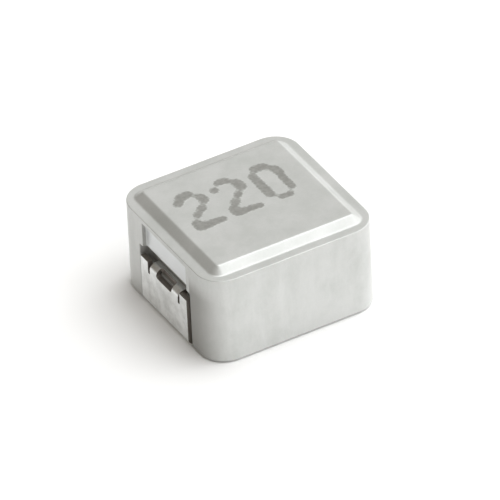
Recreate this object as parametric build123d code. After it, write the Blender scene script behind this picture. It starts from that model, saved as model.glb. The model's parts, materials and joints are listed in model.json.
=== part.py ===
"""Moulded power inductor for surface mounting, in millimetres.

The origin is the middle of the footprint on the board, +X runs from terminal to
terminal and +Z points away from the board. A coil of enamelled copper wire sits inside
a block of pressed iron powder. A tinned copper strip leaves each end of the block
halfway up, bends down the end wall and folds under the base as a solder pad.
"""

import os
from math import acos, atan2, ceil, cos, degrees, hypot, isclose, pi, radians, sin, sqrt

from build123d import *

# Moulded body
body_length = 6.86
body_width = 6.60
body_top = 3.82  # board to flat top
standoff = 0.05  # board to the underside of the body
corner_radius = 1.00  # upright corners
ledge_width = 0.37  # flat ledge round the raised top
top_rise = 0.25  # raised top above the ledge
slope_width = 0.32  # sloped sides of the raised top, in plan
top_corner = 0.10  # corners of the flat top, in plan
crown_radius = 0.15  # softens the edge round the flat top
foot_radius = 0.08  # hollow round where the sloped sides meet the ledge
rim_radius = 0.06  # rounds the ledge into the walls
base_radius = 0.08  # rounds the walls into the base

# Recess in each end wall, from the top down: panel, slot and pocket
panel_width = 3.04
panel_depth = 0.16
panel_margin = 0.16  # wall left between the panel and the rounded rim
slot_depth = 0.35
slot_height = 0.59
pocket_gap = 0.15  # beside the strip and past the end of the pad
recess_radius = 0.06  # upright edges of the recesses

# Terminal strip
strip_width = 3.20
strip_thickness = 0.20
strip_proud = 0.06  # strip outside the end wall
bend_radius = 0.27  # outside of both bends
pad_length = 1.60
neck_top = 1.95  # board to the top of the necks
neck_width = 0.45
window_width = 1.06
window_sill = 1.64  # board to the lower edge of the window
window_reach = 0.01  # window past the bend, towards the coil
window_radius = 0.10
notch_width = 0.12  # between a neck and the shoulder beside it
notch_foot = 1.50  # board to the lower end of a notch
shoulder_top = 1.97
edge_break = 0.03  # rounded edges of the stamped strip

# Coil
wire_diameter = 0.55  # over the enamel
whole_turns = 7
free_turns = 1.1  # the outer layer stops this far above the lead of the inner one
cross_angle = 90  # degrees, from the inner layer out to the outer one
turn_gap = 0.01  # between neighbouring turns and layers
side_wall = 0.86  # powder beside the coil
lead_thickness = 0.35  # lead flattened onto the tab
lead_width = 0.68
lead_wall = 0.13  # powder between the flat lead and the strip's pocket
lead_margin = 0.05  # flat lead before the near side of the tab
lead_short = 0.18  # tab left free at its far side
lead_flare = 0.25  # stretch over which the round wire turns flat
lead_corner = 0.95  # from the flare to where the lead turns towards the coil
lead_sweep = 0.65  # share of each run that the lead's bend takes up

# Fits
mould_gap = 0.01  # powder to whatever is moulded in
coil_gap = 0.03  # tab and flat lead to the side of the coil

# Places that follow from the sizes above
end_wall = body_length / 2
strip_face = end_wall + strip_proud
strip_back = strip_face - strip_thickness
pad_end = strip_face - pad_length
pocket_floor = strip_back - mould_gap
pocket_width = strip_width + 2 * pocket_gap
neck_bottom = neck_top - strip_thickness
neck_span = window_width + 2 * neck_width
bend_start = neck_top - bend_radius
slot_floor = neck_bottom - mould_gap
slot_top = neck_bottom + slot_height
ledge_height = body_top - top_rise
rim_bottom = ledge_height - rim_radius

wire_radius = wire_diameter / 2
turn_pitch = wire_diameter + turn_gap
end_room = coil_gap + lead_width + lead_wall
coil_radius = min(body_width / 2 - side_wall, pocket_floor - end_room)
outer_layer_radius = coil_radius - wire_radius
inner_layer_radius = outer_layer_radius - turn_pitch
tab_end = coil_radius + coil_gap
lead_x = tab_end + lead_width / 2
lead_z = neck_bottom - lead_thickness / 2
lead_start = -(neck_span / 2 + lead_margin)  # y where the flat lead begins
lead_end = neck_span / 2 - lead_short
flare_start = lead_start - lead_flare
corner_y = flare_start - lead_corner


def tangent_angle(side, radius):
    """Angle in degrees where a line from the lead's corner touches a layer."""
    distance = hypot(lead_x, corner_y)
    return degrees(atan2(corner_y, side * lead_x) - side * acos(radius / distance))


first_angle = tangent_angle(-1, inner_layer_radius)
last_angle = tangent_angle(1, outer_layer_radius)
layer_turns = whole_turns + (last_angle - first_angle - cross_angle) / 360
rising_turns = (layer_turns + free_turns) / 2  # inner layer
falling_turns = (layer_turns - free_turns) / 2  # outer layer
cross_start = first_angle + 360 * rising_turns
cross_climb = turn_pitch * cross_angle / 360  # what the inner layer's slope would add
coil_rise = rising_turns * turn_pitch
coil_low = (standoff + body_top - coil_rise) / 2  # middle of the wire, first turn
coil_high = coil_low + coil_rise
fall_end = coil_high - falling_turns * turn_pitch


def block(x_range, y_range, z_range):
    """Box between two values on each axis."""
    corner = (x_range[0], y_range[0], z_range[0])
    size = [high - low for low, high in (x_range, y_range, z_range)]
    return Pos(*corner) * Box(*size, align=(Align.MIN, Align.MIN, Align.MIN))


def both_ends(solid):
    """The solid at +X and the same solid turned round to -X."""
    return [solid, Rot(Z=180) * solid]


def turn_direction(angle, radius, pitch):
    """Unit tangent of a helix that turns anticlockwise and climbs by pitch a turn."""
    climb = pitch / (2 * pi)
    tangent = Vector(-radius * sin(radians(angle)), radius * cos(radians(angle)), climb)
    return tangent.normalized()


def on_circle(angle, radius, height):
    return Vector(radius * cos(radians(angle)), radius * sin(radians(angle)), height)


def layer(radius, turns, angle, height, falls):
    """One helical layer from its lowest point, turning away from it as it climbs."""
    helix = Helix(turn_pitch, turns * turn_pitch, radius, lefthand=falls)
    return Pos(0, 0, height) * Rot(Z=angle) * helix


def crossing():
    """Wire over the top of the coil, from the inner layer out to the outer one."""
    steps = ceil(cross_angle / 24) + 1
    points = []
    for step in range(steps + 1):
        share = step / steps
        ease = share * share * (3 - 2 * share)
        radius = inner_layer_radius + ease * (outer_layer_radius - inner_layer_radius)
        height = coil_high + cross_climb * share * (1 - share)
        points.append(on_circle(cross_start + share * cross_angle, radius, height))
    ends = [
        turn_direction(cross_start, inner_layer_radius, turn_pitch),
        turn_direction(cross_start + cross_angle, outer_layer_radius, -turn_pitch),
    ]
    return Spline(*points, tangents=ends)


def lead_route(side, angle, radius, height, pitch):
    """Lead from a layer's end to the flat on the tab: straight out, then one bend."""
    start = on_circle(angle, radius, height)
    away = turn_direction(angle, radius, pitch) * side
    clear = sqrt((coil_radius + wire_radius) ** 2 - radius**2)
    bend = start + away * clear
    flat = Vector(side * lead_x, flare_start, lead_z)
    run = hypot(flat.X - bend.X, corner_y - bend.Y)
    controls = [
        bend,
        bend + away * (lead_sweep * run),
        flat - Vector(0, lead_sweep * lead_corner, 0),
        flat,
    ]
    return [Line(start, bend), Bezier(*controls)]


def wire_routes():
    """Every stretch of the round wire, from one flat lead to the other."""
    rising = layer(inner_layer_radius, rising_turns, first_angle, coil_low, False)
    falling = layer(outer_layer_radius, falling_turns, last_angle, fall_end, True)
    left = lead_route(-1, first_angle, inner_layer_radius, coil_low, turn_pitch)
    right = lead_route(1, last_angle, outer_layer_radius, fall_end, -turn_pitch)
    return {"layers": [rising, crossing(), falling], "leads": left + right}


def round_wire(route, radius):
    section = Plane(origin=route @ 0, z_dir=route % 0) * Circle(radius)
    return sweep(section, path=route, is_frenet=False)


def flat_lead(side, gap=0.0):
    """Flattened end of the wire, with the flare that leads into it."""
    size = (lead_width + 2 * gap, lead_thickness + 2 * gap)
    flat_end = Pos(side * lead_x, lead_start, lead_z)
    round_end = Pos(side * lead_x, flare_start, lead_z)
    flat_section = flat_end * (Plane.XZ * Rectangle(*size))
    length = lead_end + gap - lead_start
    bar = extrude(flat_section, length, dir=(0, 1, 0))
    round_section = round_end * (Plane.XZ * Circle(wire_radius + gap))
    return bar + loft([round_section.face(), flat_section.face()])


def coil_winding():
    routes = wire_routes()
    wire = flat_lead(-1) + flat_lead(1)
    for route in routes["leads"] + routes["layers"]:
        wire += round_wire(route, wire_radius)
    return wire


def coil_hollow():
    """Room in the powder for the coil: a ring for the layers, tunnels for the leads."""
    reach = wire_radius + mould_gap
    height = coil_rise + cross_climb / 4 + 2 * reach
    ring = Cylinder(outer_layer_radius + reach, height)
    ring -= Cylinder(inner_layer_radius - reach, height)
    hollow = Pos(0, 0, coil_low - reach + height / 2) * ring
    for side in (-1, 1):
        hollow += flat_lead(side, mould_gap)
    for route in wire_routes()["leads"]:
        hollow += round_wire(route, reach)
    return hollow


def bent_strip(corners, width):
    """Strip of one thickness along the outside corners of a bend, edges broken."""
    outside = FilletPolyline(*corners, radius=bend_radius)
    outline = offset(outside, strip_thickness, side=Side.LEFT)
    strip = extrude(Plane.XZ * make_face(outline), width / 2, both=True)
    return fillet(strip.faces().filter_by(Axis.Y).edges(), edge_break)


def terminal():
    """Strip at +X: pad and wall first, then the necks that carry on to the tab."""
    pad_corners = [(pad_end, 0), (strip_face, 0), (strip_face, shoulder_top)]
    neck_corners = pad_corners[:2] + [(strip_face, neck_top), (tab_end, neck_top)]
    above = shoulder_top + strip_thickness
    notch_side = neck_span / 2 + notch_width
    wall = bent_strip(pad_corners, strip_width)
    wall -= block((strip_back, strip_face), (-notch_side, notch_side), (bend_start, above))
    for side in (-1, 1):
        notch = sorted((side * neck_span / 2, side * notch_side))
        wall -= block((strip_back, strip_face), notch, (notch_foot, bend_start))
    necks = bent_strip(neck_corners, neck_span)
    necks &= block((tab_end, strip_face), (-notch_side, notch_side), (bend_start, above))

    inner_edge = strip_face - bend_radius - window_reach
    half_window = window_width / 2
    window = block((inner_edge, strip_face), (-half_window, half_window), (window_sill, above))
    inner_corners = window.edges().filter_by(Axis.Z).group_by(Axis.X)[0]
    sill_corners = window.edges().filter_by(Axis.X).group_by(Axis.Z)[0]
    return wall + necks - fillet(inner_corners + sill_corners, window_radius)


def strip_room():
    """Slot, pocket and pad room at +X: one side profile, rounded inside both bends."""
    outside = end_wall + strip_proud
    round_bend = bend_radius - strip_thickness - mould_gap
    corners = {
        (pad_end - pocket_gap, 0): 0,
        (pad_end - pocket_gap, strip_thickness + mould_gap): 0,
        (pocket_floor, strip_thickness + mould_gap): round_bend,
        (pocket_floor, slot_floor): round_bend,
        (end_wall - slot_depth, slot_floor): 0,
        (end_wall - slot_depth, slot_top): 0,
        (outside, slot_top): 0,
        (outside, 0): 0,
    }
    outline = FilletPolyline(*corners, radius=corners.values(), close=True)
    return extrude(Plane.XZ * make_face(outline), pocket_width / 2, both=True)


def end_recess():
    """Everything that is open in the end wall at +X, and under the pad."""
    panel = block(
        (end_wall - panel_depth, end_wall + strip_proud),
        (-panel_width / 2, panel_width / 2),
        (slot_floor, rim_bottom - panel_margin),
    )
    half_neck = neck_span / 2 + mould_gap
    neck_room = block(
        (tab_end - mould_gap, end_wall - slot_depth),
        (-half_neck, half_neck),
        (slot_floor, neck_top + mould_gap),
    )
    inner_corners = panel.edges().filter_by(Axis.Z).group_by(Axis.X)[0]
    return fillet(inner_corners, recess_radius) + strip_room() + neck_room


def raised_top():
    """Upper part of the block: a flat top with sloped sides."""
    length, width = (size - 2 * ledge_width for size in (body_length, body_width))
    foot = RectangleRounded(length, width, top_corner + slope_width)
    flat_top = RectangleRounded(length - 2 * slope_width, width - 2 * slope_width, top_corner)
    raised = loft([Pos(0, 0, ledge_height) * foot, Pos(0, 0, body_top) * flat_top], ruled=True)
    return fillet(raised.edges().group_by(Axis.Z)[-1], crown_radius)


def moulded_body():
    outline = RectangleRounded(body_length, body_width, corner_radius)
    body = extrude(Pos(0, 0, standoff) * outline, ledge_height - standoff)
    body = fillet(body.edges().group_by(Axis.Z)[0], base_radius)
    body += raised_top()
    ledge = [face for face in body.faces() if isclose(face.center().Z, ledge_height)][0]
    body = fillet(ledge.inner_wires()[0].edges(), foot_radius)
    ledge = [face for face in body.faces() if isclose(face.center().Z, ledge_height)][0]
    body = fillet(ledge.outer_wire().edges(), rim_radius)
    for recess in both_ends(end_recess()):
        body -= recess
    return body - coil_hollow()


def main():
    right, left = both_ends(terminal())
    nodes = {
        "moulded_body": moulded_body(),
        "coil_winding": coil_winding(),
        "terminal_left": left,
        "terminal_right": right,
    }
    os.makedirs("parts", exist_ok=True)
    for name, shape in nodes.items():
        shape.label = name
        export_step(shape, f"parts/{name}.step")
        print(f"{name}: {len(shape.solids())} solid, {shape.volume:.4f} mm3")


main()
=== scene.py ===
# Moulded power inductor for surface mounting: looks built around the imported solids.
# Metres, the same frame as the solids: +X from terminal to terminal, +Z up from the board.
import json

import bmesh
import bpy
import numpy as np
from mathutils import Matrix, Vector

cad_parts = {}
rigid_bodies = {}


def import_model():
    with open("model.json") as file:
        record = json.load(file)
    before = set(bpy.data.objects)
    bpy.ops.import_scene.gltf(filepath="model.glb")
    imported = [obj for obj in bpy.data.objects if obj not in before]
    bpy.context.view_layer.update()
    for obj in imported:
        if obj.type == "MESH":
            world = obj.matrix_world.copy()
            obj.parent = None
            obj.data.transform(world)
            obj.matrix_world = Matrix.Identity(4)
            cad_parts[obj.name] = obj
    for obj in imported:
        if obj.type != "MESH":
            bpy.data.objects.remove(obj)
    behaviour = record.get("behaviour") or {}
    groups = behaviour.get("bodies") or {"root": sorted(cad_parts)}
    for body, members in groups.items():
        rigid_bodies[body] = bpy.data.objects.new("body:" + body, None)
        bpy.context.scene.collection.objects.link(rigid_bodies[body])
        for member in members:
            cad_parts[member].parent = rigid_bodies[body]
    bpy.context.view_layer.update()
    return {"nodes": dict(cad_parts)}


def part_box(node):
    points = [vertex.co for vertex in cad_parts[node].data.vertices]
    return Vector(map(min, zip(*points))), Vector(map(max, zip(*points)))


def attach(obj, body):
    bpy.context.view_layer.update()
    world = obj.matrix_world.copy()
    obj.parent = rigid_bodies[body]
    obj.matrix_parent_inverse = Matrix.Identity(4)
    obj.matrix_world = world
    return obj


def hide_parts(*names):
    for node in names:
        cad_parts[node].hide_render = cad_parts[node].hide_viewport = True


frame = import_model()
mm = 0.001
weldGap = 0.0002  # mm, points closer together than this become one
noiseSpan = {"From Min": 0.3, "From Max": 0.7}  # where nearly all values of a noise lie
print("frame loaded:", ", ".join(sorted(frame["nodes"])))


def nodeBox(name):
    # Lowest and highest corner of a solid, in millimetres
    lowest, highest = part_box(name)
    return np.array(lowest) / mm, np.array(highest) / mm


def gridFaces(rows, columns, closed=False):
    # Corner numbers of each cell in a grid of points, closed across its columns or not
    row, column = np.meshgrid(
        np.arange(rows - 1), np.arange(columns if closed else columns - 1), indexing="ij"
    )
    after = (column + 1) % columns
    corners = [row * columns + column, row * columns + after]
    corners += [corners[1] + columns, corners[0] + columns]
    return np.stack(corners, axis=-1).reshape(-1, 4)


def easedLine(start, end, steps):
    # Values from start to end that stand closer together near both ends
    share = (1 - np.cos(np.linspace(0, np.pi, steps))) / 2
    return start + (end - start) * share


def addPiece(name, points, faces, material, replaced=(), shades=None):
    # A mesh piece from points in millimetres, with coinciding points merged. Shades are the
    # attributes that its material reads: a value for each point, under the attribute's name.
    mesh = bpy.data.meshes.new(name)
    mesh.from_pydata((points * mm).tolist(), [], faces.tolist())
    for attribute, values in (shades or {}).items():
        mesh.attributes.new(attribute, "FLOAT", "POINT").data.foreach_set("value", values)
    welded = bmesh.new()
    welded.from_mesh(mesh)
    bmesh.ops.remove_doubles(welded, verts=welded.verts, dist=weldGap * mm)
    welded.to_mesh(mesh)
    welded.free()
    mesh.shade_smooth()
    mesh.materials.append(material)
    piece = bpy.data.objects.new(name, mesh)
    bpy.context.scene.collection.objects.link(piece)
    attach(piece, "root")
    if replaced:
        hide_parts(*replaced)
    return piece


def linear(hexColour):
    # sRGB hex to the linear colour that a shader takes
    parts = np.array([int(hexColour[place : place + 2], 16) for place in (1, 3, 5)]) / 255
    curve = np.where(parts <= 0.04045, parts / 12.92, ((parts + 0.055) / 1.055) ** 2.4)
    return (*curve.tolist(), 1.0)


def addNode(tree, kind, settings=None, inputs=None):
    # One shader node with its settings, fixed inputs and links
    node = tree.nodes.new("ShaderNode" + kind)
    for name, value in (settings or {}).items():
        setattr(node, name, value)
    for name, value in (inputs or {}).items():
        if isinstance(value, bpy.types.NodeSocket):
            tree.links.new(value, node.inputs[name])
        else:
            node.inputs[name].default_value = value
    return node


def newMaterial(name, fixed):
    # A material whose shader has its fixed inputs set
    material = bpy.data.materials.new(name)
    material.use_nodes = True
    shader = material.node_tree.nodes["Principled BSDF"]
    for socket, value in fixed.items():
        shader.inputs[socket].default_value = value
    return material, material.node_tree, shader


coat = {
    "colour": "#c9cac8",
    "darker": "#bec0bd",
    "rubbed": "#cccdcb",
    "metallic": 0.40,
    "roughness": 0.33,
    "roughnessSpread": 0.03,
    "speckle": 0.07,  # mm, powder grains that show through the coat
    "speckleTone": (0.975, 1.015),  # darkest and palest grain, times the colour
    "mottle": 1.3,  # mm, clouds
    "rubWidth": 0.8,  # mm, upright rub marks left by the mould
    "rubLength": 3.0,  # mm
    "rubSpan": (0.38, 0.72),  # values of the noise where a rub starts and is complete
    "bump": 0.0015,  # mm
    "bumpStrength": 0.35,
    "bareAndShade": "#949390",  # dark, dull powder in the recesses, where the spray doesn't reach; the same colour is painted shade there and beside each pocket
    "bareRoughness": 0.85,
    "pressed": "#dfe2e3",  # painted reflection: paler colour of the panel floor, standing in for the bright reflection there
}


def greyPowderCoat():
    # Grey metal-flake epoxy, sprayed thin over pressed iron powder and cured: satin, with the
    # powder's grain in it and upright rub marks on the walls where the block left its mould.
    # One attribute says where the dark, dull powder shows and where the same colour is painted
    # shade. Another says where the panel floor is painted paler, as a painted reflection.
    material, tree, shader = newMaterial("greyPowderCoat", {})
    place = addNode(tree, "TexCoord").outputs["Object"]
    normal = addNode(tree, "NewGeometry").outputs["Normal"]
    upright = addNode(tree, "SeparateXYZ", inputs={"Vector": normal}).outputs["Z"]
    wall = addNode(
        tree, "MapRange", {"interpolation_type": "SMOOTHSTEP"},
        {"Value": upright, "From Min": 0.5, "From Max": 0.1},
    ).outputs["Result"]
    grain = addNode(
        tree, "TexNoise", inputs={
            "Vector": place, "Scale": 1 / (coat["speckle"] * mm), "Detail": 3.0, "Roughness": 0.6,
        },
    ).outputs["Fac"]
    cloud = addNode(
        tree, "TexNoise", inputs={
            "Vector": place, "Scale": 1 / (coat["mottle"] * mm), "Detail": 5.0, "Roughness": 0.68,
        },
    ).outputs["Fac"]
    stretched = addNode(
        tree, "Mapping", inputs={
            "Vector": place,
            "Scale": (
                1 / (coat["rubWidth"] * mm), 1 / (coat["rubWidth"] * mm),
                1 / (coat["rubLength"] * mm),
            ),
        },
    ).outputs["Vector"]
    rubs = addNode(
        tree, "TexNoise", inputs={
            "Vector": stretched, "Scale": 1.0, "Detail": 5.0, "Roughness": 0.7,
        },
    ).outputs["Fac"]
    rubStart, rubFull = coat["rubSpan"]
    rubShare = addNode(
        tree, "MapRange", {"interpolation_type": "SMOOTHSTEP"},
        {"Value": rubs, "From Min": rubStart, "From Max": rubFull, "To Max": wall},
    ).outputs["Result"]
    cloudShare = addNode(
        tree, "MapRange", {"interpolation_type": "SMOOTHSTEP"}, {"Value": cloud, **noiseSpan}
    ).outputs["Result"]
    clouded = addNode(
        tree, "Mix", {"data_type": "RGBA"},
        {0: cloudShare, 6: linear(coat["darker"]), 7: linear(coat["colour"])},
    ).outputs[2]
    rubbed = addNode(
        tree, "Mix", {"data_type": "RGBA"}, {0: rubShare, 6: clouded, 7: linear(coat["rubbed"])}
    ).outputs[2]
    darkest, palest = coat["speckleTone"]
    speck = addNode(
        tree, "MapRange",
        inputs={"Value": grain, **noiseSpan, "To Min": darkest, "To Max": palest},
    ).outputs["Result"]
    specked = addNode(
        tree, "Mix", {"data_type": "RGBA", "blend_type": "MULTIPLY"}, {0: 1.0, 6: rubbed, 7: speck}
    ).outputs[2]
    rough = addNode(
        tree, "MapRange",
        inputs={
            "Value": grain, **noiseSpan,
            "To Min": coat["roughness"] - coat["roughnessSpread"],
            "To Max": coat["roughness"] + coat["roughnessSpread"],
        },
    ).outputs["Result"]
    bump = addNode(
        tree, "Bump", inputs={
            "Height": grain, "Strength": coat["bumpStrength"], "Distance": coat["bump"] * mm,
        },
    ).outputs["Normal"]
    # Painted reflection: the panel floor is made paler by colour
    pressed = addNode(tree, "Attribute", {"attribute_name": "pressed"}).outputs["Fac"]
    paler = addNode(
        tree, "Mix", {"data_type": "RGBA"}, {0: pressed, 6: specked, 7: linear(coat["pressed"])}
    ).outputs[2]
    # Dark, dull powder in the recesses, and the same colour as painted shade there and beside each
    # pocket
    bareAndShade = addNode(tree, "Attribute", {"attribute_name": "bareAndShade"}).outputs["Fac"]
    shown = addNode(
        tree, "Mix", {"data_type": "RGBA"}, {0: bareAndShade, 6: paler, 7: linear(coat["bareAndShade"])}
    ).outputs[2]
    metallic = addNode(
        tree, "MapRange", inputs={"Value": bareAndShade, "To Min": coat["metallic"], "To Max": 0.0}
    ).outputs["Result"]
    duller = addNode(
        tree, "MapRange", inputs={"Value": bareAndShade, "To Min": rough, "To Max": coat["bareRoughness"]}
    ).outputs["Result"]
    tree.links.new(shown, shader.inputs["Base Color"])
    tree.links.new(metallic, shader.inputs["Metallic"])
    tree.links.new(duller, shader.inputs["Roughness"])
    tree.links.new(bump, shader.inputs["Normal"])
    return material


tin = {
    "colour": "#eeefee",
    "dull": "#d5d6d4",
    "roughness": (0.27, 0.40),  # of the dull and of the bright patches
    "patch": 0.45,  # mm, crystals and handling marks in the tin
    "patchSpan": (0.32, 0.66),  # values of the noise where a patch starts and is complete
    "scratchWidth": 0.06,  # mm, drawing lines, which run along the strip
    "scratchLength": 0.6,  # mm
    "bump": 0.001,  # mm
    "bumpStrength": 0.3,
    "cutEdge": "#857f78",
}


def mattTinPlate():
    # Matt tin, plated on stamped copper strip: soft metallic sheen with faint drawing lines
    material, tree, shader = newMaterial("mattTinPlate", {"Metallic": 1.0})
    place = addNode(tree, "TexCoord").outputs["Object"]
    patches = addNode(
        tree, "TexNoise", inputs={
            "Vector": place, "Scale": 1 / (tin["patch"] * mm), "Detail": 5.0, "Roughness": 0.65,
        },
    ).outputs["Fac"]
    drawn = addNode(
        tree, "Mapping", inputs={
            "Vector": place,
            "Scale": (
                1 / (tin["scratchLength"] * mm), 1 / (tin["scratchWidth"] * mm),
                1 / (tin["scratchLength"] * mm),
            ),
        },
    ).outputs["Vector"]
    lines = addNode(
        tree, "TexNoise", inputs={"Vector": drawn, "Scale": 1.0, "Detail": 2.0},
    ).outputs["Fac"]
    patchStart, patchFull = tin["patchSpan"]
    patchShare = addNode(
        tree, "MapRange", {"interpolation_type": "SMOOTHSTEP"},
        {"Value": patches, "From Min": patchStart, "From Max": patchFull},
    ).outputs["Result"]
    colour = addNode(
        tree, "Mix", {"data_type": "RGBA"},
        {0: patchShare, 6: linear(tin["dull"]), 7: linear(tin["colour"])},
    ).outputs[2]
    smoothest, roughest = tin["roughness"]
    rough = addNode(
        tree, "MapRange",
        inputs={"Value": patches, **noiseSpan, "To Min": smoothest, "To Max": roughest},
    ).outputs["Result"]
    bump = addNode(
        tree, "Bump", inputs={
            "Height": lines, "Strength": tin["bumpStrength"], "Distance": tin["bump"] * mm,
        },
    ).outputs["Normal"]
    tree.links.new(colour, shader.inputs["Base Color"])
    tree.links.new(rough, shader.inputs["Roughness"])
    tree.links.new(bump, shader.inputs["Normal"])
    return material


def tarnishedCopper():
    # Cut edge of the strip, stamped after plating: bare copper that has gone dark brown
    return newMaterial(
        "tarnishedCopper",
        {"Base Color": linear(tin["cutEdge"]), "Metallic": 0.7, "Roughness": 0.55},
    )[0]


magnetWire = {
    "colour": "#c8763c",
    "darker": "#b0602c",
    "cloud": 0.6,  # mm
    "roughness": 0.28,
    "enamel": 0.8,  # weight of the clear coat
    "enamelRoughness": 0.08,
}


def enamelledCopper():
    # Magnet wire: drawn copper under a thin clear enamel, which gives a glossy amber skin
    material, tree, shader = newMaterial(
        "enamelledCopper",
        {
            "Metallic": 1.0, "Roughness": magnetWire["roughness"],
            "Coat Weight": magnetWire["enamel"], "Coat Roughness": magnetWire["enamelRoughness"],
        },
    )
    place = addNode(tree, "TexCoord").outputs["Object"]
    cloud = addNode(
        tree, "TexNoise", inputs={
            "Vector": place, "Scale": 1 / (magnetWire["cloud"] * mm), "Detail": 3.0,
        },
    ).outputs["Fac"]
    colour = addNode(
        tree, "Mix", {"data_type": "RGBA"},
        {0: cloud, 6: linear(magnetWire["darker"]), 7: linear(magnetWire["colour"])},
    ).outputs[2]
    tree.links.new(colour, shader.inputs["Base Color"])
    return material


mark = {
    "text": "220",
    "pitch": (0.30, 0.317),  # mm, between dots
    "letterStep": 5,  # columns of dots from one letter to the next
    "dotReach": 0.205,  # mm, how far a dot spreads
    "level": 0.40,  # where a dot ends, as a share of its middle
    "fade": 0.30,  # the level rises by this much from a dot's faint rim to its full tone
    "middle": (-0.15, 0.60),  # mm, on the flat top
    "wander": 0.04,  # mm, each dot off its place
    "sizeSpread": 0.13,  # share by which a dot is smaller or larger
    "ragged": 0.07,  # added to and taken from the sum
    "waves": ((41, 17, 0), (-23, 37, 2), (13, 53, 4)),  # radians per mm along x and y, phase
    "margin": 0.3,  # mm, room round the dots' middles
    "cell": 0.03,  # mm, fineness of the outline
    "slide": 0.45,  # cells, how far an outline point may go
    "proud": 0.0008,  # mm
    "skin": 0.004,  # mm
    "colour": "#8f8f8b",
    "fadeColour": "#9f9f9b",
    "blotch": 0.16,  # mm
    "metallic": 0.55,
    "roughness": 0.42,
    "seed": 5,
}

glyphs = {  # four dots wide and seven high, top row first
    "0": "0110 1001 1001 1001 1001 1001 0110",
    "2": "0110 1001 0001 0010 0100 1000 1111",
}


def burntCoat():
    # Coat darkened by a marking laser: duller and rougher than the coat round it
    material, tree, shader = newMaterial(
        "burntCoat", {"Metallic": mark["metallic"], "Roughness": mark["roughness"]}
    )
    place = addNode(tree, "TexCoord").outputs["Object"]
    blotches = addNode(
        tree, "TexNoise", inputs={
            "Vector": place, "Scale": 1 / (mark["blotch"] * mm), "Detail": 3.0,
        },
    ).outputs["Fac"]
    share = addNode(
        tree, "MapRange", inputs={"Value": blotches, "From Min": 0.35, "From Max": 0.75}
    ).outputs["Result"]
    tone = addNode(
        tree, "Mix", {"data_type": "RGBA"},
        {0: share, 6: linear(mark["colour"]), 7: linear(mark["fadeColour"])},
    ).outputs[2]
    burn = addNode(tree, "Attribute", {"attribute_name": "burn"}).outputs["Fac"]
    colour = addNode(
        tree, "Mix", {"data_type": "RGBA"}, {0: burn, 6: linear(coat["darker"]), 7: tone}
    ).outputs[2]
    tree.links.new(colour, shader.inputs["Base Color"])
    return material


bodyShape = {  # mm
    "cornerRadius": 1.00,
    "ledgeWidth": 0.37,
    "topRise": 0.25,  # of the flat top above the ledge
    "slopeWidth": 0.32,
    "topCorner": 0.10,  # radius of the flat top's corners
    "crownRadius": 0.15,  # from the flat top to the slope
    "footRadius": 0.15,  # from the slope to the ledge
    "rimRadius": 0.035,  # from the ledge to the wall
    "baseRadius": 0.06,  # from the wall to the base
    "panelWidth": 3.04,
    "panelDepth": 0.16,
    "panelTop": 3.35,  # above the board, as the other tops and floors are
    "slotWidth": 3.50,
    "slotDepth": 0.35,
    "slotTop": 2.34,
    "slotFloor": 1.74,
    "pocketDepth": 0.15,
    "pocketRound": 0.06,
    "padRoomHeight": 0.16,  # room for a pad under the base
    "padRoomEnd": 1.74,  # from the body's middle
    "edgeRound": 0.03,  # at the mouth of a recess
    "mouthShare": 0.16,  # of the depth, in that round
    "draft": 0.012,  # how far a recess wall leans over its depth
    "footRound": 0.05,  # at the foot of a recess wall
    "footShare": 0.24,  # of the depth, in that round
    "spacing": 0.12,  # between grid lines on plain stretches
    "clearance": 0.02,  # between a plain grid line and those of a recess edge
    "unevenness": 0.004,
    "evenBase": 0.3,  # height over which the unevenness sets in
}

bareAndShadeShape = {  # mm, where bare powder and painted shade show
    "fullDepth": 0.12,  # in the slot and pocket, from here inwards
    "sideDepth": 0.10,  # in the panel, from here inwards on its sides
    "pocketShade": 0.80,  # strength of the painted shade beside a pocket, as a share of the dark colour
    "pocketShadeReach": 1.45,  # sideways from the pocket
    "pocketShadeAbove": 0.8,  # up from the top of the slot
    "pocketShadeFade": 0.6,  # length of its upper end
}


def recessStep():
    # Side view of a recess edge, as offsets inwards and shares of the depth: a quarter round
    # (1 - cos), a leaning wall and a quarter round (sin) at its foot
    turn = np.linspace(0, np.pi / 2, 6)
    mouth, foot = bodyShape["edgeRound"], bodyShape["footRound"]
    offsets = [mouth * (np.sin(turn) - 1), bodyShape["draft"] + foot * (1 - np.cos(turn))]
    mouthShare, footShare = bodyShape["mouthShare"], bodyShape["footShare"]
    shares = [mouthShare * (1 - np.cos(turn)), 1 - footShare + footShare * np.sin(turn)]
    return np.concatenate(offsets), np.concatenate(shares)


stepOffsets, stepShares = recessStep()


def insideShare(distance):
    # How much of a recess's depth holds at a distance inside its edge
    return np.interp(distance, stepOffsets, stepShares)


def ruledLine(half, edges):
    # Grid lines from -half to half, with those of a recess edge at each place in edges
    plain = np.linspace(-half, half, round(2 * half / bodyShape["spacing"]) + 1)
    steps = np.concatenate([edge - stepOffsets for edge in edges])
    steps = np.concatenate([steps, -steps])
    gap = np.abs(plain[:, None] - steps[None, :]).min(axis=1)
    return np.sort(np.concatenate([plain[gap > bodyShape["clearance"]], steps]))


def cornerArc(before, corner, after, radius, steps):
    # Points of the arc that rounds the corner of two straight runs
    into = (corner - before) / np.linalg.norm(corner - before)
    out = (after - corner) / np.linalg.norm(after - corner)
    turn = np.arccos(np.clip(into @ out, -1, 1))
    inward = out - into * (into @ out)
    inward /= np.linalg.norm(inward)
    start = corner - into * radius * np.tan(turn / 2)
    angle = np.linspace(0, turn, steps)[:, None]
    return start + radius * (np.sin(angle) * into + (1 - np.cos(angle)) * inward)


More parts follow.
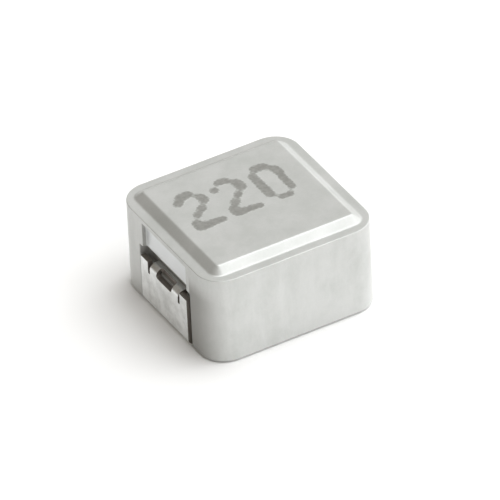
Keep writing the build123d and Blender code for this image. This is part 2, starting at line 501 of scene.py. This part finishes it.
def bodyRows(radius, topInset, base, top):
    # Side profile from the flat top to the base, a row of values for each: inset, height, share
    # of the raised top's own outline, and what the recess adds inwards and upwards, first slot
    # and pocket, then the panel
    shape = bodyShape
    ledge = top - shape["topRise"]
    corners = np.array(
        [[topInset, top], [shape["ledgeWidth"] + shape["slopeWidth"], top],
         [shape["ledgeWidth"], ledge], [0, ledge], [0, base], [radius, base]]
    )
    crown = cornerArc(*corners[0:3], shape["crownRadius"], 9)
    hollow = cornerArc(*corners[1:4], shape["footRadius"], 7)
    rim = cornerArc(*corners[2:5], shape["rimRadius"], 9)
    foot = cornerArc(*corners[3:6], shape["baseRadius"], 9)
    slope = np.linspace(0, 1, 6)[:, None] * (hollow[0] - crown[-1]) + crown[-1]
    flat = np.linspace(0, 1, 8)[:, None] * (rim[0] - hollow[-1]) + hollow[-1]

    # Rows of the wall: those of the recess edges, and between them plain ones that keep 0.08 to
    # 0.13 mm clear of the edges
    bend = base + shape["padRoomHeight"] + shape["pocketRound"]
    edges = np.concatenate(
        [shape["panelTop"] - stepOffsets, shape["slotTop"] - stepOffsets,
         shape["slotFloor"] + stepOffsets]
    )
    heights = np.concatenate(
        [edges, rim[-1, 1] - np.array([0, 0.004]),
         np.linspace(shape["panelTop"] - 0.13, shape["slotTop"] + 0.1, 9),
         np.linspace(shape["slotTop"] - 0.13, shape["slotFloor"] + 0.13, 4),
         easedLine(shape["slotFloor"] - 0.08, bend, 13)]
    )
    heights = np.unique(np.round(heights, 5))[::-1]
    wall = np.stack([np.zeros(len(heights)), heights], axis=1)
    low = np.stack([np.zeros(5), np.linspace(bend, foot[0, 1], 6)[1:]], axis=1)
    under = np.stack([easedLine(foot[-1, 0], radius, 12), np.full(12, base)], axis=1)[1:]

    slot = insideShare(shape["slotTop"] - heights)
    deeper = (shape["slotDepth"] - shape["pocketDepth"]) * insideShare(heights - shape["slotFloor"])
    panel = shape["panelDepth"] * insideShare(shape["panelTop"] - heights) * (1 - slot)
    around = np.concatenate([low, foot[1:]])
    angle = np.linspace(0, np.pi / 2, len(around) + 1)[1:]
    bendInset = shape["pocketDepth"] + shape["pocketRound"] * (1 - np.cos(angle))
    bendHeight = bend - shape["pocketRound"] * np.sin(angle)
    roofInset = np.linspace(bendInset[-1], radius, len(under) + 1)[1:]

    above = np.concatenate([corners[:1], crown, slope[1:-1], hollow, flat[1:-1], rim[:-1]])
    profile = np.concatenate([above, wall, around, under])
    raised = np.interp(-profile[:, 0], [-hollow[-1, 0], -rim[0, 0]], [1, 0])
    raised[len(above) :] = 0
    grooveIn = np.concatenate(
        [np.zeros(len(above)), slot * (shape["pocketDepth"] + deeper),
         bendInset - around[:, 0], roofInset - under[:, 0]]
    )
    grooveUp = np.concatenate(
        [np.zeros(len(above) + len(wall)), bendHeight - around[:, 1],
         np.full(len(under), shape["padRoomHeight"])]
    )
    panelIn = np.concatenate([np.zeros(len(above)), panel, np.zeros(len(around) + len(under))])
    return profile[:, 0], profile[:, 1], raised, grooveIn, grooveUp, panelIn


def outlineColumns(coreLength, coreWidth, endLine, sideLine):
    # Once round the body: points on the inner rectangle, the way out from each, and how far
    # inside the slot and the panel each stands
    cores, outs, slots, panels = [], [], [], []
    for quarter in range(4):
        turn = quarter * np.pi / 2
        out = np.round([np.cos(turn), np.sin(turn)])
        along = np.array([-out[1], out[0]])
        reach, line = ((coreLength, endLine), (coreWidth, sideLine))[quarter % 2]
        atEnd = 1 - quarter % 2
        cores.append(out * reach + along * line[:, None])
        outs.append(np.tile(out, (len(line), 1)))
        slots.append(atEnd * insideShare(bodyShape["slotWidth"] / 2 - np.abs(line)))
        panels.append(atEnd * insideShare(bodyShape["panelWidth"] / 2 - np.abs(line)))
        angles = turn + np.linspace(0, np.pi / 2, 18)[1:-1]
        cores.append(np.tile(cores[-1][-1], (len(angles), 1)))
        outs.append(np.stack([np.cos(angles), np.sin(angles)], axis=1))
        slots.append(np.zeros(len(angles)))
        panels.append(np.zeros(len(angles)))
    return [np.concatenate(part) for part in (cores, outs, slots, panels)]


def unevenness(points):
    # Slight waves of a pressed surface: a sum of sines in three directions, which stays between
    # -2.5 and 2.5. With 3.2 added it is never below zero, so the surface only moves inwards.
    x, y, z = np.moveaxis(points, -1, 0)
    waves = np.sin(1.9 * x + 0.8 * y + 0.5) + np.sin(-1.1 * x + 2.3 * y + 1.4 * z + 2.1)
    waves += np.sin(3.7 * x - 2.9 * y + 2.2 * z) * 0.5
    return -bodyShape["unevenness"] * (waves + 3.2) / 2.5


def bareAndShadeShare(ring, coreLength, grooveIn, slotShare, panelIn, panelShare):
    # Dark, dull powder shows in the slot and the pocket, where the spray misses, and the same
    # colour there is also painted shade. The side walls of the panel are darker too. On the wall at
    # one side of each pocket the dark colour is painted shade, standing in for the dark reflection
    # of the shadow on the floor: darkest beside the pocket, and fading with the square of the
    # distance from it.
    sides = 4 * panelShare * (1 - panelShare) * (panelIn > bareAndShadeShape["sideDepth"])
    away = np.abs(ring[..., 1]) - bodyShape["slotWidth"] / 2
    # Painted shade on the wall beside the pocket, on one side only
    paintedShade = 1 - np.clip(away / bareAndShadeShape["pocketShadeReach"], 0, 1) ** 2
    highest = bodyShape["slotTop"] + bareAndShadeShape["pocketShadeAbove"]
    paintedShade *= np.clip((highest - ring[..., 2]) / bareAndShadeShape["pocketShadeFade"], 0, 1) * (1 - slotShare)
    paintedShade *= (np.abs(ring[..., 0]) > coreLength) & (ring[..., 0] * ring[..., 1] > 0)
    inRecess = grooveIn / bareAndShadeShape["fullDepth"]
    return np.clip(inRecess + sides + bareAndShadeShape["pocketShade"] * paintedShade, 0, 1)


def mouldedBody(material):
    # Wall, ledge, slope and recesses as one ring surface, closed by a flat grid above and below.
    # A point at inset d is core + (radius - d) * out. The raised top has its own, larger core,
    # whose edge stands at topInset, and on the ledge the points change from one to the other.
    lowest, highest = nodeBox("moulded_body")
    radius = bodyShape["cornerRadius"]
    topInset = bodyShape["ledgeWidth"] + bodyShape["slopeWidth"] + bodyShape["topCorner"]
    coreLength, coreWidth = highest[0] - radius, highest[1] - radius
    topLength, topWidth = highest[0] - topInset, highest[1] - topInset
    base, top = lowest[2], highest[2]
    endLine = ruledLine(coreWidth, [bodyShape["slotWidth"] / 2, bodyShape["panelWidth"] / 2])
    sideLine = ruledLine(coreLength, [bodyShape["padRoomEnd"]])
    core, out, slotShare, panelShare = outlineColumns(coreLength, coreWidth, endLine, sideLine)
    topEnd, topSide = endLine * topWidth / coreWidth, sideLine * topLength / coreLength
    topCore = outlineColumns(topLength, topWidth, topEnd, topSide)[0]
    inset, height, raised, grooveIn, grooveUp, panelIn = bodyRows(radius, topInset, base, top)

    reach = radius - inset[:, None] - grooveIn[:, None] * slotShare - panelIn[:, None] * panelShare
    lower = core + reach[..., None] * out
    upper = topCore + (topInset - inset)[:, None, None] * out
    around = lower + raised[:, None, None] * (upper - lower)
    rise = height[:, None] + grooveUp[:, None] * slotShare
    ring = np.concatenate([around, rise[..., None]], axis=-1)
    ringFaces = gridFaces(len(inset), len(core), closed=True)[:, ::-1]

    x, y = np.meshgrid(sideLine, endLine, indexing="ij")
    room = insideShare(bodyShape["slotWidth"] / 2 - np.abs(y))
    room = room * insideShare(np.abs(x) - bodyShape["padRoomEnd"])
    lid = np.stack([x * topLength / coreLength, y * topWidth / coreWidth, np.full_like(x, top)],
                   axis=-1)
    underside = np.stack([x, y, base + bodyShape["padRoomHeight"] * room], axis=-1)
    flatFaces = gridFaces(*x.shape)[:, ::-1]

    flatOut = np.concatenate([out, np.zeros((len(out), 1))], axis=1)
    lift = np.clip((height - (top - bodyShape["topRise"])) / bodyShape["rimRadius"] + 1, 0, 1)
    facing = flatOut + lift[:, None, None] * (np.array([0, 0, 1.0]) - flatOut)
    aboveBase = np.clip((height - base) / bodyShape["evenBase"], 0, 1)[:, None, None]
    ring = ring + unevenness(ring)[..., None] * facing * aboveBase
    lid[..., 2] += unevenness(lid)

    count = ring[..., 0].size
    points = np.concatenate([part.reshape(-1, 3) for part in (ring, lid, underside)])
    faces = np.concatenate(
        [ringFaces, flatFaces + count, flatFaces[:, ::-1] + count + x.size]
    )
    # Dark colour: bare powder and painted shade in the recesses and beside the pockets; paler panel
    # floor: painted reflection
    shades = {
        "bareAndShade": bareAndShadeShare(ring, coreLength, grooveIn[:, None] * slotShare, slotShare,
                          panelIn[:, None], panelShare),
        "pressed": (panelShare * panelIn[:, None] / bodyShape["panelDepth"]) ** 4,
    }
    flat = np.zeros(len(points) - count)  # both flat grids are plainly coated
    shades = {name: np.append(values, flat) for name, values in shades.items()}
    piece = addPiece("coated_body", points, faces, material, ["moulded_body"],
                     shades)
    print("body:", len(piece.data.polygons), "faces")
    return piece


stripShape = {  # mm, outside face of the strip
    "thickness": 0.20,
    "bendRadius": 0.27,
    "neckTop": 1.95,  # above the board, as the sill and the notch's foot are
    "neckWidth": 0.45,
    "tabEnd": 2.47,  # from the body's middle
    "windowWidth": 1.06,
    "windowSill": 1.64,
    "windowReach": 0.01,  # past the upper bend
    "windowRadius": 0.10,
    "notchWidth": 0.12,
    "notchFoot": 1.50,
    "edgeBreak": 0.03,
}


def terminalStrip(node, material, edgeMaterial):
    # A stamped blank bent twice. Each point has a width place and a length along the strip; the
    # length runs along the pad, round the lower bend and up the wall, and past the upper bend
    # the necks turn in while the shoulders go straight on
    shape = stripShape
    lowest, highest = nodeBox("terminal_right")
    halfWidth, face, shoulderTop, padEnd = highest[1], highest[0], highest[2], lowest[0]
    radius = shape["bendRadius"]
    bend = radius * np.pi / 2
    padRun = face - radius - padEnd
    wallRun = shape["neckTop"] - 2 * radius
    fork = padRun + bend + wallRun  # where necks and shoulders part
    notchStart = fork + shape["notchFoot"] - (shape["neckTop"] - radius)
    sill = fork + shape["windowSill"] - (shape["neckTop"] - radius)
    windowEnd = fork + bend + shape["windowReach"]
    shoulderEnd = fork + shoulderTop - (shape["neckTop"] - radius)
    tabRun = fork + bend + face - radius - shape["tabEnd"]

    # Rows and columns fall on every corner of the blank, and the plain ones keep 0.03 to 0.05 mm
    # clear of it, where the broken edge goes
    corner = shape["windowRadius"]
    rounding = corner * (1 - np.cos(np.linspace(0, np.pi / 2, 7)))
    rows = np.concatenate(
        [easedLine(0, padRun, 9), padRun + np.linspace(0, bend, 19),
         easedLine(padRun + bend, notchStart, 9), np.linspace(notchStart + 0.035, sill, 4),
         sill + rounding, np.linspace(sill + corner + 0.03, windowEnd - corner - 0.03, 8),
         windowEnd - rounding, [shoulderEnd - 0.035, shoulderEnd],
         np.linspace(windowEnd + 0.04, tabRun - 0.05, 8), [tabRun]]
    )
    rows = np.unique(np.round(rows, 5))
    halfWindow = shape["windowWidth"] / 2
    halfNeck = halfWindow + shape["neckWidth"]
    shoulder = halfNeck + shape["notchWidth"]
    half = np.concatenate(
        [np.linspace(0, halfWindow, 6), np.linspace(halfWindow, halfNeck, 7)[1:],
         np.linspace(shoulder, halfWidth, 7)]
    )
    columns = np.concatenate([-half[:0:-1], half])

    inside = np.clip(np.minimum(rows - sill, windowEnd - rows), 0, corner)
    opening = halfWindow - corner + np.sqrt(corner**2 - (corner - inside) ** 2)
    marks = np.array([0, halfWindow, halfNeck, halfWidth])
    spread = np.array(
        [np.interp(half, marks, [0, width, halfNeck, halfWidth]) for width in opening]
    )
    across = np.concatenate([-spread[:, :0:-1], spread], axis=1)

    def bentPath(length, straightOn):
        # x and z of the outside face at a length along the strip
        lower = np.clip((length - padRun) / radius, 0, np.pi / 2)
        upper = np.clip((length - fork) / radius, 0, np.pi / 2) * (1 - straightOn)
        x = padEnd + np.clip(length, 0, padRun) + radius * np.sin(lower)
        x -= radius * (1 - np.cos(upper))
        x -= np.clip(length - fork - bend, 0, None) * (1 - straightOn)
        z = radius * (1 - np.cos(lower)) + np.clip(length - padRun - bend, 0, wallRun)
        z += radius * np.sin(upper) + np.clip(length - fork, 0, None) * straightOn
        return x, z

    length, place = np.meshgrid(rows, np.abs(columns), indexing="ij")
    x, z = bentPath(length, (place > halfNeck + 0.001).astype(float))
    points = np.stack([x, across, z], axis=-1).reshape(-1, 3)
    faces = gridFaces(len(rows), len(columns))
    rowMiddle = (rows[:-1] + rows[1:]) / 2
    columnMiddle = np.abs(columns[:-1] + columns[1:]) / 2
    past, side = np.meshgrid(rowMiddle, columnMiddle, indexing="ij")
    inWindow = (side < halfWindow) & (past > sill) & (past < windowEnd)
    inNotch = (side > halfNeck) & (side < shoulder) & (past > notchStart)
    pastShoulder = (side > shoulder) & (past > shoulderEnd)
    faces = faces[~(inWindow | inNotch | pastShoulder).reshape(-1)]
    used, faces = np.unique(faces, return_inverse=True)
    points, faces = points[used], faces.reshape(-1, 4)
    if node == "terminal_left":
        points = points * np.array([-1, -1, 1])
    piece = addPiece(node.replace("terminal", "tinned_strip"), points, faces, material,
                     [node])
    solid = piece.modifiers.new("thickness", "SOLIDIFY")
    solid.thickness = shape["thickness"] * mm
    solid.offset = -1
    solid.use_even_offset = True
    piece.data.materials.append(edgeMaterial)
    solid.material_offset_rim = 1
    edge = piece.modifiers.new("brokenEdge", "BEVEL")
    edge.width = shape["edgeBreak"] * mm
    edge.segments = 3
    edge.limit_method = "ANGLE"
    edge.angle_limit = np.radians(50)
    edge.harden_normals = True
    print(piece.name + ":", len(piece.data.polygons), "faces")
    return piece


def laserMark(material):
    # Dots of a marking laser that run together: where the sum of exp(-(distance / reach)^2) over
    # the dots is above a level, with waves added that make it ragged. Outline points are slid
    # along the slope of the sum onto the level.
    pitch = np.array(mark["pitch"])
    rng = np.random.default_rng(mark["seed"])
    dots = []
    for place, letter in enumerate(mark["text"]):
        lit = np.array([[dot == "1" for dot in row] for row in glyphs[letter].split()])
        row, column = np.nonzero(lit)
        dots.append(np.stack([column + mark["letterStep"] * place, 6 - row], axis=1) * pitch)
    dots = np.concatenate(dots)
    size = np.array([mark["letterStep"] * len(mark["text"]) - 2, 6]) * pitch
    dots = dots + np.array(mark["middle"]) - size / 2
    dots += rng.normal(0, mark["wander"] / 2, dots.shape)
    spread = mark["sizeSpread"]
    reach = mark["dotReach"] * rng.uniform(1 - spread, 1 + spread, len(dots))

    low, high = dots.min(axis=0) - mark["margin"], dots.max(axis=0) + mark["margin"]
    lines = [np.arange(low[axis], high[axis], mark["cell"]) for axis in (0, 1)]
    x, y = np.meshgrid(*lines, indexing="ij")
    spot = np.stack([x, y], axis=-1)[:, :, None, :] - dots
    bell = np.exp(-(spot**2).sum(axis=-1) / reach**2)
    field = bell.sum(axis=-1)
    slope = (-2 * bell[..., None] * spot / reach[:, None] ** 2).sum(axis=2)
    waves = sum(np.sin(a * x + b * y + phase) for a, b, phase in mark["waves"])
    field = field + mark["ragged"] * waves / 1.5

    faces = gridFaces(*x.shape)
    cellField = field.reshape(-1)[faces].mean(axis=1)
    faces = faces[cellField > mark["level"]]
    count = np.bincount(faces.reshape(-1), minlength=x.size)
    border = ((count > 0) & (count < 4)).reshape(x.shape)
    steep = np.maximum((slope**2).sum(axis=-1), 0.5)  # no long slides where the sum is nearly flat
    furthest = mark["slide"] * mark["cell"]
    shift = ((mark["level"] - field) / steep)[..., None] * slope
    shift = np.clip(shift, -furthest, furthest) * border[..., None]
    x, y = x + shift[..., 0], y + shift[..., 1]
    burn = np.clip((field - mark["level"]) / mark["fade"], 0, 1) * ~border
    top = nodeBox("moulded_body")[1][2]
    points = np.stack([x, y, np.full_like(x, top)], axis=-1)
    points[..., 2] += unevenness(points) + mark["proud"] * np.where(border, -1, 1)
    used, faces = np.unique(faces, return_inverse=True)
    piece = addPiece("laser_mark", points.reshape(-1, 3)[used], faces.reshape(-1, 4)[:, ::-1],
                     material, shades={"burn": burn.reshape(-1)[used]})
    film = piece.modifiers.new("film", "SOLIDIFY")
    film.thickness = mark["skin"] * mm
    film.offset = -1
    print("mark:", len(piece.data.polygons), "faces")
    return piece


coatMaterial = greyPowderCoat()
mouldedBody(coatMaterial)
tinMaterial, edgeMaterial = mattTinPlate(), tarnishedCopper()
for node in ("terminal_left", "terminal_right"):
    terminalStrip(node, tinMaterial, edgeMaterial)
laserMark(burntCoat())
wire = frame["nodes"]["coil_winding"]
wire.data.materials.clear()
wire.data.materials.append(enamelledCopper())

studio = {
    "surround": "#fff6e8",
    "surroundStrength": 0.27,
    "boxColour": "#fbfdff",
    "floor": "#ffffff",
    "floorRoughness": 0.9,
    "floorSize": 3.0,  # m
    "boxSize": 0.70,  # m, square
    "boxAway": 1.0,  # m
    "rows": (  # soft boxes, in degrees up and round from +X, radiance inside and at both ends
        {"up": 18, "first": -120, "last": 60, "apart": 30, "inner": 0.90, "ends": 0.30},
        {"up": 42, "first": -80, "last": 40, "apart": 40, "inner": 1.00, "ends": 0.20},
        {"up": 66, "first": -60, "last": 60, "apart": 60, "inner": 1.75, "ends": 0.90},
    ),
    "overhead": 0.70,  # radiance of the soft box straight above
}


def softBox(up, around, radiance):
    light = bpy.data.lights.new(f"softBox{up}at{around % 360}", "AREA")
    light.size = studio["boxSize"]
    light.energy = radiance * np.pi * studio["boxSize"] ** 2
    light.color = linear(studio["boxColour"])[:3]
    box = bpy.data.objects.new(light.name, light)
    bpy.context.scene.collection.objects.link(box)
    lift, turn = np.radians([up, around])
    toward = Vector((np.cos(turn) * np.cos(lift), np.sin(turn) * np.cos(lift), np.sin(lift)))
    facing = toward.to_track_quat("Z", "Y").to_matrix().to_4x4()
    box.matrix_world = Matrix.Translation(toward * studio["boxAway"]) @ facing


def buildStudio():
    # White floor, rows of soft boxes round the right-hand side and an even surround
    bpy.ops.mesh.primitive_plane_add(size=studio["floorSize"])
    floor = bpy.context.object
    floor.name = "floor"
    material = newMaterial(
        "whiteCard",
        {"Base Color": linear(studio["floor"]), "Roughness": studio["floorRoughness"]},
    )[0]
    floor.data.materials.append(material)
    softBox(90, 0, studio["overhead"])
    for row in studio["rows"]:
        for around in range(row["first"], row["last"] + 1, row["apart"]):
            atEnd = around in (row["first"], row["last"])
            softBox(row["up"], around, row["ends"] if atEnd else row["inner"])
    world = bpy.data.worlds.new("whiteSurround")
    world.use_nodes = True
    surround = world.node_tree.nodes["Background"]
    surround.inputs["Color"].default_value = linear(studio["surround"])
    surround.inputs["Strength"].default_value = studio["surroundStrength"]
    bpy.context.scene.world = world
    bpy.context.scene.view_settings.view_transform = "Standard"


view = {
    "azimuth": -28.5704,  # degrees
    "elevation": 36.7768,
    "roll": -2.9323,
    "distance": 0.4116,  # m
    "lens": 844.3,  # mm on a 36 mm sensor
    "aim": (-0.065, 1.392),  # mm right of and above the footprint's middle, in the picture
}


def addCamera():
    azimuth, elevation = np.radians(view["azimuth"]), np.radians(view["elevation"])
    back = Vector(
        (np.sin(azimuth) * np.cos(elevation), -np.cos(azimuth) * np.cos(elevation),
         np.sin(elevation))
    )
    level = Vector((0, 0, 1)).cross(back).normalized()
    roll = Matrix.Rotation(np.radians(view["roll"]), 3, back)
    right = roll @ level
    up = back.cross(right)
    camera = bpy.data.cameras.new("camera")
    camera.lens = view["lens"]
    camera.sensor_width = 36
    camera.clip_start = 0.001
    holder = bpy.data.objects.new("camera", camera)
    bpy.context.scene.collection.objects.link(holder)
    aim = (right * view["aim"][0] + up * view["aim"][1]) * mm
    turned = Matrix((right, up, back)).transposed().to_4x4()
    holder.matrix_world = Matrix.Translation(aim + back * view["distance"]) @ turned
    bpy.context.scene.camera = holder


buildStudio()
addCamera()
print("studio ready")

bpy.context.view_layer.update()
